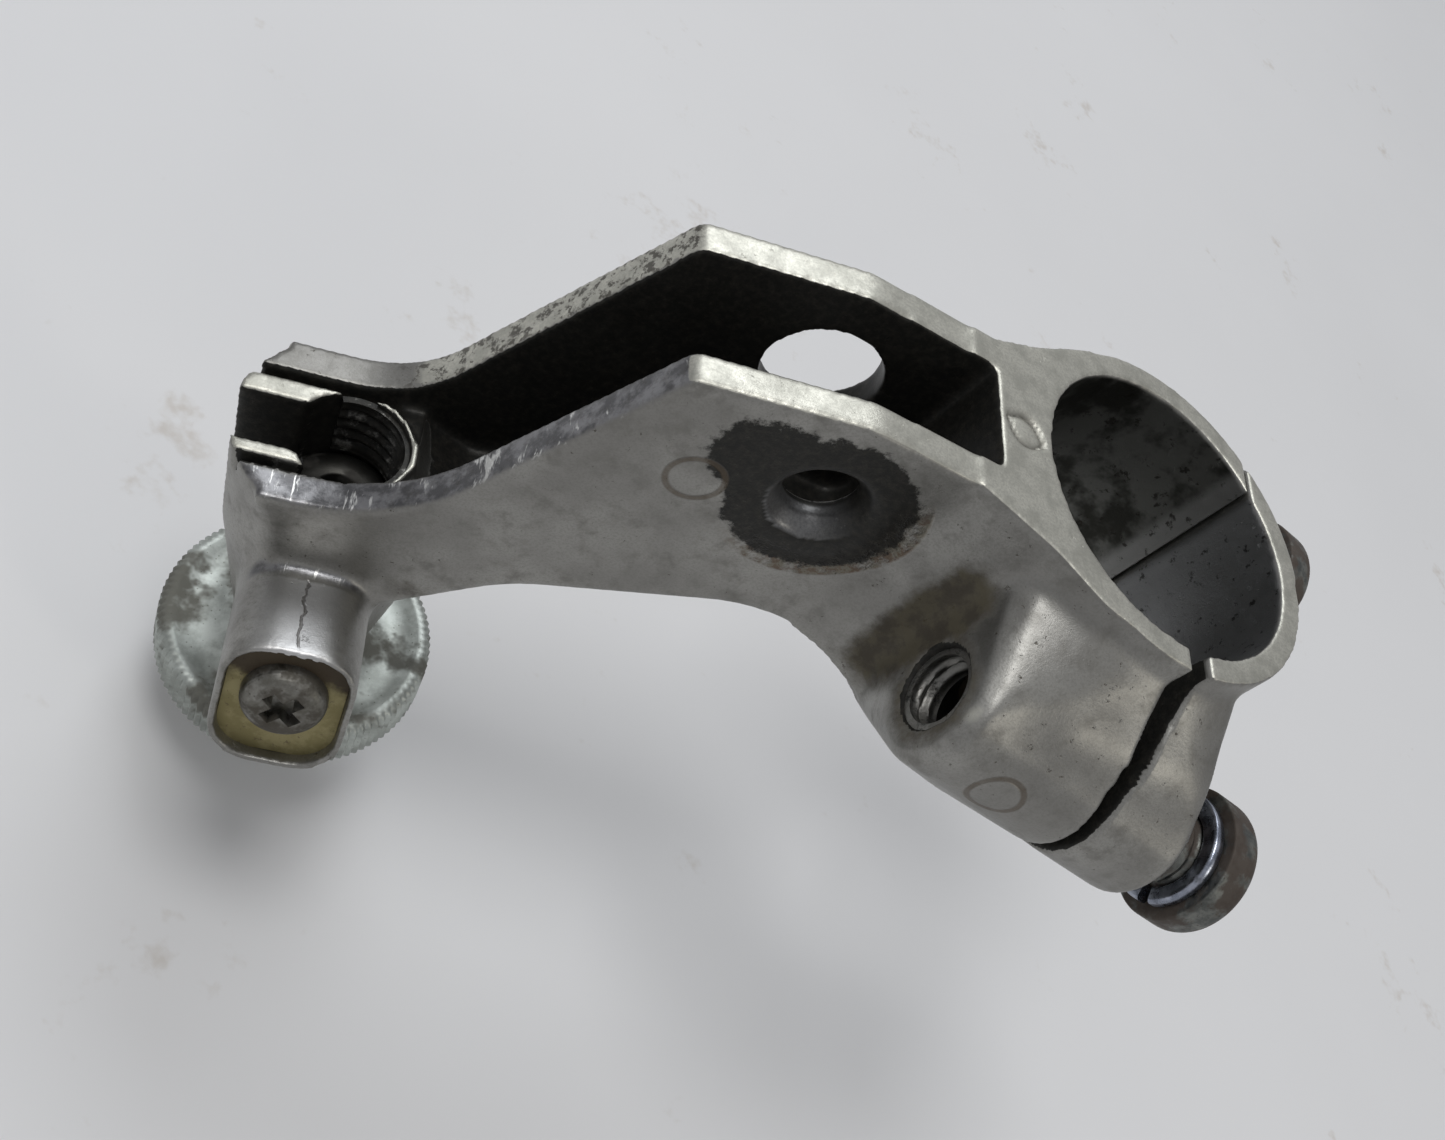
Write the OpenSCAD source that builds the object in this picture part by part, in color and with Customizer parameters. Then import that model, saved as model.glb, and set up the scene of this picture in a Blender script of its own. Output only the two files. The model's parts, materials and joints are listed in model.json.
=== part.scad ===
// Clutch lever bracket for a motorcycle handlebar: a two-piece clamp, a forked
// arm that carries the lever on its pivot, and a cable adjuster held by a
// sprung detent. All sizes are in millimetres.
// Z is the handlebar's axis and points to the end of the bar, with z = 0 at the
// clamp's outer face. X points forward. Y points to the side with the detent.

/* [Handlebar clamp] */
// Diameter of the handlebar
bar_d = 22.2; // [21.6:0.1:22.6]
// Wall of the clamp ring
clamp_wall = 1.9; // [1.7:0.1:2.2]
// Length of the clamp along the bar
clamp_len = 22; // [21:0.5:24]
// Place of the far split, measured back from the bar's axis
far_split = 9.2; // [8.5:0.1:9.5]
// Gap at the far split, which its bolt holds nearly shut
far_gap = 0.1; // [0.1:0.05:0.3]
// Gap at the near split, at the outer face of the clamp
near_gap = 1.8; // [1.2:0.1:2]
// Slant of the cap's face at the near split, in degrees
near_gap_slant = 4.3; // [2:0.1:4.3]

/* [Clamp bolts] */
// Thread diameter of the clamp bolts
bolt_d = 6; // [5:0.5:6]
// Length of the bolts under the head
bolt_len = 20; // [18:1:20]
// Diameter of the bolt heads
bolt_head_d = 10.4; // [9:0.1:10.6]
// Height of the bolt heads
bolt_head_h = 3.3; // [2.6:0.1:3.4]
// Diameter of the bosses that take the bolts
bolt_boss_d = 10.6; // [10:0.1:11]
// Distance from the bar's axis to each bolt's axis
bolt_offset = 14.95; // [14.9:0.05:15.5]
// Rise of the bolt axes towards the outer face, in degrees
bolt_rise = 6.6; // [0:0.1:8]
// Slant of the bolt axes to the far side, in degrees
bolt_toe = 4.5; // [0:0.1:5]
// Distance that the near bolt stands unscrewed
near_bolt_slack = 2.6; // [1:0.1:4]
// Thickness of the spring washers
washer_t = 1.2; // [1:0.1:1.6]

/* [Fork] */
// Width over both ears
fork_w = 13.8; // [13:0.1:14.4]
// Width of the channel for the lever
channel_w = 8.6; // [8:0.1:9]
// Distance from the bar's axis to the closed end of the channel
channel_x = 15.9; // [15:0.1:17]
// Distance from the bar's axis to the lever's pivot
pivot_x = 24.4; // [24:0.1:26]
// Depth of the pivot below the clamp's outer face
pivot_depth = 8; // [7:0.1:9]
// Diameter of the plain pivot hole in the far ear
pivot_d = 8.4; // [8:0.1:9]
// Diameter of the tapped pivot hole in the near ear
pivot_thread_d = 5; // [4.8:0.1:5.4]

/* [Cable adjuster] */
// Tilt of the adjuster's axis from the bar's axis, in degrees
adjuster_tilt = 17.2; // [17:0.1:17.4]
// Thread diameter of the adjuster
adjuster_d = 7.9; // [7.6:0.1:8]
// Diameter of the round lug that takes the adjuster
lug_d = 16.4; // [16:0.1:17]
// Length of the lug
lug_len = 22; // [21:0.1:22]
// Width of the slot that lets the cable in
cable_slot_w = 4.1; // [3.8:0.1:4.3]
// Diameter of the adjuster wheel
wheel_d = 20.5; // [19:0.1:22]
// Thickness of the adjuster wheel
wheel_t = 4.1; // [3.5:0.1:4.5]
// Diameter of the cable's end ferrule
ferrule_d = 5.2; // [5:0.1:5.4]

/* [Detent] */
// Width of the detent's boss, across the adjuster
detent_w = 9; // [8.6:0.1:9.4]
// Height of the detent's boss, along the adjuster
detent_h = 11.2; // [10.8:0.1:11.4]
// Lean of the boss towards the outer face, in degrees
detent_lean = 11.5; // [8:0.5:12]
// Wall of the boss around the plug
detent_wall = 0.5; // [0.4:0.05:0.7]
// Depth of the plug's face below the rim
plug_depth = 1; // [0.5:0.1:1.2]
// Thickness of the plug
plug_t = 3.2; // [2.8:0.1:3.4]
// Diameter of the detent's pin
pin_d = 4; // [3.6:0.1:4.2]

/* [Hidden] */
$fn = 96;

big = 80;                 // longer than anything that it cuts
hull_fn = 32;
running_gap = 0.03;       // radial gap of the parts that turn or slide
loose_gap = 0.3;          // radial gap of a bolt in a clearance hole

bar_r = bar_d / 2;
ring_r = bar_r + clamp_wall;
fork_y = -0.2;            // middle of the fork
near_y = fork_y + fork_w / 2;
far_y = fork_y - fork_w / 2;
pivot_z = -pivot_depth;

near_bolt_z = -12.3;      // heights of the bolt axes beside the bar's axis
far_bolt_z = -9.7;
near_boss_front = 12.6;   // places along a bolt's axis, forward from the bar
far_boss_front = 3;
near_foot_back = -9;
far_foot_back = -22.3;
boss_edge = 0.8;          // chamfer of the bosses and feet
washer_r = 4.4;
near_head = near_foot_back - washer_t - near_bolt_slack;
far_head = far_foot_back - washer_t;
shank_r = bolt_d / 2 - running_gap;
socket_af = 4;            // hexagon socket in the bolt heads
socket_depth = 2;

adjuster_at = [48.1, 0.3, -28.2];   // mouth of the adjuster's bore
stem_r = adjuster_d / 2 - running_gap;
stem_top = -6;            // places along the adjuster's axis, from the mouth
sink_depth = 1.3;         // countersink of the tapped pivot hole
lug_back = -4.5;          // back of the bore's wall, towards the channel
rear_wall = 0.4;          // thin wall around the bore's mouth
wheel_top = -lug_len - 0.6;
wheel_bottom = wheel_top - wheel_t;
wire_r = 1.6;             // hole for the inner cable
seat_wall = 0.6;
seat_depth = 5;
groove_w = 0.7;           // narrow grooves between the lug and the ears
groove_depth = 1.6;
groove_inset = 0.1;       // step between a groove and the channel's wall

detent_at = [0.55, 15.5, -10.3];    // middle of the boss's rim, by the mouth
pin_at = [0, -0.6];       // the pin's axis in the boss, from its middle
pin_r = pin_d / 2;
pin_end = -11.63;         // places along the boss's axis, from its rim
pin_len = 3.4;
spring_end = -plug_depth - plug_t - 1.2;
screw_r = 1.5;
screw_head_r = 2.9;
screw_head_h = 1.5;
wire_d = 0.5;             // wire of the detent's spring

// ---- outlines with rounded corners ----

function unit(v) = v / norm(v);

// Points of a corner at b, between a and c, rounded with radius r.
function round_corner(a, b, c, r, n = 8) =
    r == 0 ? [b] :
    let (u = unit(a - b), w = unit(c - b), half = acos(u * w) / 2,
         centre = b + unit(u + w) * r / sin(half),
         from = b + u * r / tan(half) - centre,
         to = b + w * r / tan(half) - centre,
         start = atan2(from.y, from.x),
         turn = atan2(cross(from, to), from * to))
    [for (i = [0:n]) centre + r * [cos(start + turn * i / n),
                                   sin(start + turn * i / n)]];

// Closed outline through [x, y, corner radius] points.
function outline(p) = let (n = len(p)) [
    for (i = [0:n - 1])
        let (a = p[(i + n - 1) % n], b = p[i], c = p[(i + 1) % n])
        each round_corner([a.x, a.y], [b.x, b.y], [c.x, c.y], b.z)];

function rounded_box(w, h, r) = outline(
    [[w / 2, h / 2, r], [-w / 2, h / 2, r], [-w / 2, -h / 2, r], [w / 2, -h / 2, r]]);

// A side view in X and Z, as thick as the span from y0 to y1.
module side_plate(points, y0, y1) {
    translate([0, y1, 0]) rotate([90, 0, 0])
        linear_extrude(y1 - y0) polygon(outline(points));
}

// ---- local frames ----

// Along a clamp bolt: z points forward, with z = 0 beside the bar's axis.
module on_bolt(y, z) {
    translate([0, y, z]) rotate([0, 90 - bolt_rise, -bolt_toe]) children();
}
module on_near_bolt() { on_bolt(bolt_offset, near_bolt_z) children(); }
module on_far_bolt() { on_bolt(-bolt_offset, far_bolt_z) children(); }

// Along the adjuster: z points out of the lug's mouth, x points forward.
module on_adjuster() {
    translate(adjuster_at) rotate([0, adjuster_tilt, 0]) children();
}

// Along the detent's boss: z points out of the rim, y points inboard.
module on_detent() {
    on_adjuster() translate(detent_at) rotate([detent_lean - 90, 0, 0]) children();
}

// A cylinder from z0 to z1.
module rod(r, z0, z1) { translate([0, 0, z0]) cylinder(r = r, h = z1 - z0); }

// ---- clamp ----

// Thin arc plates at both ends of the ring, which shape the flanks of a boss.
module ring_ends(from, to, depth = 0.6) {
    for (z = [-depth, -clamp_len])
        translate([0, 0, z]) linear_extrude(0.6) polygon([
            for (a = [from:(to - from) / 6:to]) (ring_r - 0.1) * [cos(a), sin(a)],
            for (a = [to, from]) (bar_r + 0.3) * [cos(a), sin(a)]]);
}

// The round core of a bolt boss, with its edges chamfered.
module boss_core(z0, z1) {
    translate([0, 0, z0])
        cylinder(r = bolt_boss_d / 2 - boss_edge, h = z1 - z0, $fn = hull_fn);
    translate([0, 0, z0 + boss_edge])
        cylinder(r = bolt_boss_d / 2, h = z1 - z0 - 2 * boss_edge, $fn = hull_fn);
}

// Everything in front of the splits, or behind them with the gaps left open.
module front_half() {
    translate([0, 0, -big / 2]) cube([big, big / 2, big]);
    translate([-far_split, -big / 2, -big / 2]) cube([big, big / 2 + 0.01, big]);
}
module back_half() {
    translate([-near_gap, 0, 0]) rotate([0, -near_gap_slant, 0])
        translate([-big, 0, -big / 2]) cube([big, big / 2, big]);
    translate([-far_split - far_gap - big, -big / 2, -big / 2])
        cube([big, big / 2 + 0.01, big]);
}

module clamp_ring() {
    translate([0, 0, -clamp_len]) cylinder(r = ring_r, h = clamp_len);
}
module bar_bore() {
    translate([0, 0, -clamp_len - 1]) cylinder(r = bar_r, h = clamp_len + 2);
}

// Walls that run from the ring to both ears.
module ring_to_fork() {
    intersection() {
        translate([0, 0, -clamp_len]) linear_extrude(clamp_len) polygon(outline([
            [channel_x + 2, near_y, 0], [11.5, 9, 8], [7.5, 11.4, 6], [3.5, 12.3, 0],
            [3.5, -12.3, 0], [7, -11.4, 6], [11.5, -8.9, 6], [channel_x, far_y, 0],
            [channel_x + 2, far_y, 0]]));
        side_plate([[0, 1, 0], [20, 1, 0], [20, -19.5, 0], [15, -19.5, 6], [9, -21.1, 6],
                    [0, -21.8, 0]], -ring_r, ring_r);
    }
}

// ---- arm and lug ----

// A side-view point given along the adjuster: x forward and z out of the mouth.
function by_adjuster(x, z, r = 0) = [
    adjuster_at.x + x * cos(adjuster_tilt) + z * sin(adjuster_tilt),
    adjuster_at.z - x * sin(adjuster_tilt) + z * cos(adjuster_tilt), r];

// One side of the arm, with the radius where its edge turns to the adjuster.
module arm_side(y0, y1, turn_r) {
    side_plate([[8, 0, 0], [26, -0.3, 6], [37.5, -3.6, 1.2], by_adjuster(-3.4, 0, turn_r),
                by_adjuster(5.5, 0), by_adjuster(2.8, -11), by_adjuster(-3.6, -11),
                by_adjuster(-4.6, -9), [35.5, -27.8, 12], [21.5, -19.4, 10], [8, -19.6, 0]],
               y0, y1);
}
module arm() {
    arm_side(fork_y - 0.01, near_y, 12.5);
    arm_side(far_y, fork_y, 8);
}

// Room for the lever between the ears, down to the web and the lug's mouth.
module lever_channel() {
    side_plate([[channel_x, 5, 0], [channel_x, -17, 2], [21, -17, 8], [34.5, -25, 6],
                [38.6, -29.4, 3], by_adjuster(lug_back, -1.4, 2), by_adjuster(lug_back, 0),
                by_adjuster(15, 0), [60, 5, 0]],
               fork_y - channel_w / 2, fork_y + channel_w / 2);
}

// Corners beside the bore, which leave only a round wall behind it.
module channel_corners() {
    r = adjuster_d / 2 + rear_wall;
    middle = fork_y - adjuster_at.y;
    for (side = [-1, 1]) {
        y = middle + side * channel_w / 2;
        end = side < 0 ? 106 : 122;
        translate([0, 0, -0.9]) linear_extrude(6) polygon([
            [lug_back - 0.2, y], [r * cos(end), y],
            for (angle = [end:(165 - end) / 6:165]) r * [cos(angle), side * sin(angle)],
            [lug_back - 0.2, side * r * sin(165)]]);
    }
}

module lug() {
    intersection() {
        translate([0, fork_y - adjuster_at.y, 0]) rotate_extrude() polygon(outline(
            [[0, 0, 0], [lug_d / 2, 0, 0], [lug_d / 2 - 0.5, -8, 12], [5, -lug_len, 1], [0, -lug_len, 0]]));
        translate([-big / 2, far_y - adjuster_at.y, -big / 2]) cube([big, fork_w, big]);
    }
}

module pivot_holes() {
    translate([pivot_x, 0, pivot_z]) rotate([90, 0, 0]) {
        rod(pivot_d / 2, 0, big / 2);
        rod(pivot_thread_d / 2, -big / 2, 1);
        translate([0, 0, -near_y - 0.01])
            cylinder(r1 = pivot_thread_d / 2 + 0.95, r2 = pivot_thread_d / 2, h = sink_depth + 0.01);
    }
}

// The threaded bore, the cable's slot and the grooves beside it.
module adjuster_cuts() {
    rod(adjuster_d / 2, -lug_len - 2, 2);
    translate([0, -cable_slot_w / 2 - 0.15, -lug_len - 2]) cube([big, cable_slot_w, big]);
    for (groove = [[-3, groove_inset - channel_w / 2],
                   [1.8, channel_w / 2 - groove_w - groove_inset]])
        translate([groove.x, fork_y - adjuster_at.y + groove.y, -groove_depth])
            cube([big / 2, groove_w, groove_depth + 5]);
}

module detent_boss() {
    translate([0, 0, -13]) linear_extrude(13) polygon(rounded_box(detent_w, detent_h, 3.3));
}

module detent_cuts() {
    translate([0, 0, -plug_depth - plug_t]) linear_extrude(big) polygon(
        rounded_box(detent_w - 2 * detent_wall, detent_h - 2 * detent_wall, 2.8));
    translate(pin_at) rod(pin_r + running_gap, -13, 0);
}

// ---- nodes ----

module perch_body() {
    color("silver") difference() {
        union() {
            intersection() {
                union() {
                    clamp_ring();
                    ring_to_fork();
                    arm();
                    hull() {
                        on_near_bolt() boss_core(-1, near_boss_front);
                        ring_ends(38, 88, 2.1);
                        translate([2, 5, -16.5]) cube([9.8, 4, 12.5]);
                    }
                    hull() {
                        on_far_bolt() boss_core(-11, far_boss_front);
                        ring_ends(226, 300);
                    }
                }
                front_half();
            }
            on_adjuster() lug();
            on_detent() detent_boss();
        }
        bar_bore();
        lever_channel();
        pivot_holes();
        on_adjuster() adjuster_cuts();
        on_adjuster() channel_corners();
        on_detent() detent_cuts();
        on_near_bolt() rod(bolt_d / 2, -3, near_boss_front + 3);
        on_far_bolt() rod(bolt_d / 2, -12, far_boss_front - 1.5);
    }
}

module clamp_cap() {
    color("silver") difference() {
        intersection() {
            union() {
                clamp_ring();
                hull() {
                    on_near_bolt() boss_core(near_foot_back, 3);
                    ring_ends(97, 120, 2.1);
                }
                hull() {
                    on_far_bolt() boss_core(far_foot_back, -6);
                    ring_ends(180, 222);
                }
            }
            back_half();
        }
        bar_bore();
        on_near_bolt() rod(bolt_d / 2 + loose_gap, -big / 2, 6);
        on_near_bolt() rod(bolt_head_d / 2 + loose_gap, -big / 2, near_foot_back);
        on_far_bolt() rod(bolt_d / 2 + loose_gap, -big / 2, 0);
    }
}

// A bolt whose head's front face is at z = 0, with its shank along +z.
module clamp_bolt() {
    difference() {
        rotate_extrude() polygon(outline([
            [0, -bolt_head_h, 0], [bolt_head_d / 2, -bolt_head_h, 1.2], [bolt_head_d / 2, 0, 0.3],
            [shank_r, 0, 0], [shank_r, bolt_len - 0.6, 0], [shank_r - 0.6, bolt_len, 0],
            [0, bolt_len, 0]]));
        translate([0, 0, -bolt_head_h - 1])
            cylinder(d = socket_af / cos(30), h = socket_depth + 1, $fn = 6);
    }
}

// A split spring washer that lies in front of the head.
module spring_washer() {
    difference() {
        rod(washer_r, 0, washer_t);
        rod(bolt_d / 2 + running_gap, -1, washer_t + 1);
        rotate([35, 0, 0]) translate([0, -0.4, -big / 2]) cube([big, 0.8, big]);
    }
}

module near_clamp_bolt() {
    color("dimgray") on_near_bolt() translate([0, 0, near_head]) clamp_bolt();
}
module near_spring_washer() {
    color("slategray") on_near_bolt() translate([0, 0, near_head]) spring_washer();
}
module far_clamp_bolt() {
    color("dimgray") on_far_bolt() translate([0, 0, far_head]) clamp_bolt();
}
module far_spring_washer() {
    color("slategray") on_far_bolt() translate([0, 0, far_head]) spring_washer();
}

module adjuster_stem() {
    color("gainsboro") on_adjuster() difference() {
        rod(stem_r, wheel_bottom, stem_top);
        rod(wire_r, wheel_bottom - 1, stem_top + 1);
        rod(ferrule_d / 2 + seat_wall, wheel_bottom - 1, wheel_bottom + seat_depth);
    }
}

module adjuster_wheel() {
    color("gainsboro") on_adjuster() difference() {
        rotate_extrude() polygon(outline([
            [0, wheel_bottom, 0], [wheel_d / 2 - 0.5, wheel_bottom, 0],
            [wheel_d / 2, wheel_bottom + 0.5, 0], [wheel_d / 2, wheel_top - 0.5, 0],
            [wheel_d / 2 - 0.5, wheel_top, 0], [0, wheel_top, 0]]));
        rod(stem_r, wheel_bottom - 1, wheel_top + 1);
    }
}

// Cup that takes the end of the cable's casing inside the stem.
module cable_seat() {
    color("goldenrod") on_adjuster() difference() {
        rod(ferrule_d / 2 + seat_wall - running_gap, wheel_bottom, wheel_bottom + seat_depth);
        rod(ferrule_d / 2, wheel_bottom - 1, wheel_bottom + seat_depth - 1);
        rod(wire_r, wheel_bottom - 1, wheel_bottom + seat_depth + 1);
    }
}

module detent_plug() {
    color("darkkhaki") on_detent() difference() {
        translate([0, 0, -plug_depth - plug_t]) linear_extrude(plug_t) polygon(rounded_box(
            detent_w - 2 * detent_wall - 0.1, detent_h - 2 * detent_wall - 0.1, 2.75));
        translate(pin_at) rod(screw_r, -plug_depth - plug_t - 1, 0);
    }
}

// Pan-head screw with a cross recess.
module detent_screw() {
    color("darkgray") on_detent() translate(pin_at) difference() {
        union() {
            translate([0, 0, -plug_depth]) rotate_extrude() polygon(outline([
                [0, 0, 0], [screw_head_r, 0, 0], [screw_head_r, screw_head_h, 1.1],
                [0, screw_head_h, 0]]));
            rod(screw_r, spring_end, -plug_depth);
        }
        for (a = [45, 135])
            rotate(a) translate([-1.5, -0.5, screw_head_h - plug_depth - 1])
                cube([3, 1, 2]);
    }
}

// Coil spring between the screw and the pin.
function coil_ring(a, r, z) = [
    for (j = [0:7])
        let (rr = r + wire_d / 2 * cos(45 * j))
        [rr * cos(a), rr * sin(a), z + wire_d / 2 * sin(45 * j)]];

module detent_spring() {
    turns = 3;
    steps = 16 * turns;
    bottom = pin_end + pin_len + wire_d / 2;
    height = spring_end - wire_d / 2 - bottom;
    rings = [for (i = [0:steps]) coil_ring(22.5 * i, pin_r - 0.6, bottom + height * i / steps)];
    sides = [for (i = [0:steps - 1], j = [0:7])
        [8 * i + j, 8 * i + (j + 1) % 8, 8 * i + 8 + (j + 1) % 8, 8 * i + 8 + j]];
    ends = [[for (j = [7:-1:0]) j], [for (j = [0:7]) 8 * steps + j]];
    color("gray") on_detent() translate(pin_at)
        polyhedron([for (ring = rings) each ring], concat(sides, ends));
}

// Pin with a round nose that rests on the adjuster's stem.
module detent_pin() {
    color("gray") on_detent() translate(pin_at) rotate_extrude() polygon(outline([
        [0, pin_end, 0], [pin_r, pin_end, 1.95], [pin_r, pin_end + pin_len, 0],
        [0, pin_end + pin_len, 0]]));
}

perch_body();
clamp_cap();
near_clamp_bolt();
near_spring_washer();
far_clamp_bolt();
far_spring_washer();
adjuster_stem();
adjuster_wheel();
cable_seat();
detent_plug();
detent_screw();
detent_spring();
detent_pin();
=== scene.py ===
"""A used clutch lever bracket in cast aluminium, on a pale table."""

import json
import math

import bmesh
import bpy
import numpy as np
from mathutils import Matrix, Vector


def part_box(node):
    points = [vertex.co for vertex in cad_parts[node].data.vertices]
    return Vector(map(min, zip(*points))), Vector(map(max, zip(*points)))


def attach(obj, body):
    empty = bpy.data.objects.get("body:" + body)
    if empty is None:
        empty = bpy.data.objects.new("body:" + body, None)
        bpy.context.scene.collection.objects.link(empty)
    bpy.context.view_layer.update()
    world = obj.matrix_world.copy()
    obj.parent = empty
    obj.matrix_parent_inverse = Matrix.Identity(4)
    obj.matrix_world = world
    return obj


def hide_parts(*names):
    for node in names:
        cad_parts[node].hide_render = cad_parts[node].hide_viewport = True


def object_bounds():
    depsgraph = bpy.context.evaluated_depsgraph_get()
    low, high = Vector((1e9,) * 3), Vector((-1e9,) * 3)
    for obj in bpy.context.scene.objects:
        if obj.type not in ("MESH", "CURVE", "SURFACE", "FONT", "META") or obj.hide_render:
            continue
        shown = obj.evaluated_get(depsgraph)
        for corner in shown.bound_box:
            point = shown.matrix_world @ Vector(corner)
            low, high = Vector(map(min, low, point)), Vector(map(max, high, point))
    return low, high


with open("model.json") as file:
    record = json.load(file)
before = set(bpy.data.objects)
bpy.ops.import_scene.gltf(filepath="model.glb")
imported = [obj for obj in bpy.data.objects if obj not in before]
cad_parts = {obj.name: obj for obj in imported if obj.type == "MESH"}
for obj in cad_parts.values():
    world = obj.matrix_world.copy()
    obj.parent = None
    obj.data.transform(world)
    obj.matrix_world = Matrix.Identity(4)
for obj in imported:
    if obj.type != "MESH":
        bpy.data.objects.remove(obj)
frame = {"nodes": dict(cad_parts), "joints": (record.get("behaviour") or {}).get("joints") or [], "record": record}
cad_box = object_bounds()
record = frame["record"]
MM = 0.001

# ---- places and sizes in mm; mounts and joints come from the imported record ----

MOUNTS = {m["name"]: m for m in record["mounts"]}
JOINTS = {j["name"]: j for j in frame["joints"]}
BAR_R = MOUNTS["bar_clamp"]["dims"]["r_mm"]
CLAMP_LEN = MOUNTS["bar_clamp"]["dims"]["length_mm"]
PIVOT = np.array(MOUNTS["pivot_thread"]["pos_m"]) / MM
NEAR_EAR_Y = 6.7
FAR_EAR_Y = (MOUNTS["pivot_bore"]["pos_m"][1] / MM
             - MOUNTS["pivot_bore"]["dims"]["length_mm"] / 2)
FORK_Y = (NEAR_EAR_Y + FAR_EAR_Y) / 2
CHANNEL_X = 15.7            # the channel's back wall
CHANNEL_HALF = 4.3
THREAD_PITCH = 1.0
WHEEL_CLEARANCE = 5.2       # the adjuster's wheel comes down by up to 4.8 mm

# round marks of the mould's pins, on the ear and on the near boss: middle and radius
PIN_MARKS = [((32.2, NEAR_EAR_Y, -10.8), 1.9), ((6.9, 19.8, -11.7), 1.85)]
WITNESS_R = 7.3             # outer edge of the brown mark of the pivot's nut
SCAR = (13.6, -0.1)         # middle of the lens-shaped scar on the outer face
CAP_SEAM = 214              # degrees round the bore: where the cap begins


def axis_frame(joint):
    """Origin in mm and three axes of a turning joint, with z along its axis and x level."""
    origin = np.array(JOINTS[joint]["pos_m"]) / MM
    z = np.array(JOINTS[joint]["axis"])
    z = z / np.linalg.norm(z)
    y = np.cross(z, [1, 0, 0]) if abs(z[0]) < 0.9 else np.cross(z, [0, 0, 1])
    y = y / np.linalg.norm(y)
    return origin, np.cross(y, z), y, z


def to_local(points, axes):
    origin, x, y, z = axes
    return (points - origin) @ np.array([x, y, z]).T


def place(obj, axes):
    """Puts an object that was built in mm along z into a joint's frame."""
    origin, x, y, z = axes
    turn = Matrix([[x[i], y[i], z[i]] for i in range(3)]).to_4x4()
    obj.data.transform(Matrix.Translation(Vector(origin) * MM) @ turn @ Matrix.Scale(MM, 4))
    return obj


NEAR_BOLT = axis_frame("near_bolt_turn")
FAR_BOLT = axis_frame("far_bolt_turn")
ADJUSTER = axis_frame("adjuster_turn")


def detent_frame():
    """Middle of the detent's boss at its rim, and its axes: across, inboard and out."""
    out = np.array(JOINTS["detent_click"]["axis"])
    out = out / np.linalg.norm(out)
    down = ADJUSTER[3] - out * (ADJUSTER[3] @ out)
    down = down / np.linalg.norm(down)
    low, high = (np.array(c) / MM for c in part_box("detent_plug"))
    middle = (low + high) / 2
    return middle + out * 2.6, np.cross(down, out), down, out


DETENT = detent_frame()


# ---- material helpers ----


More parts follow.
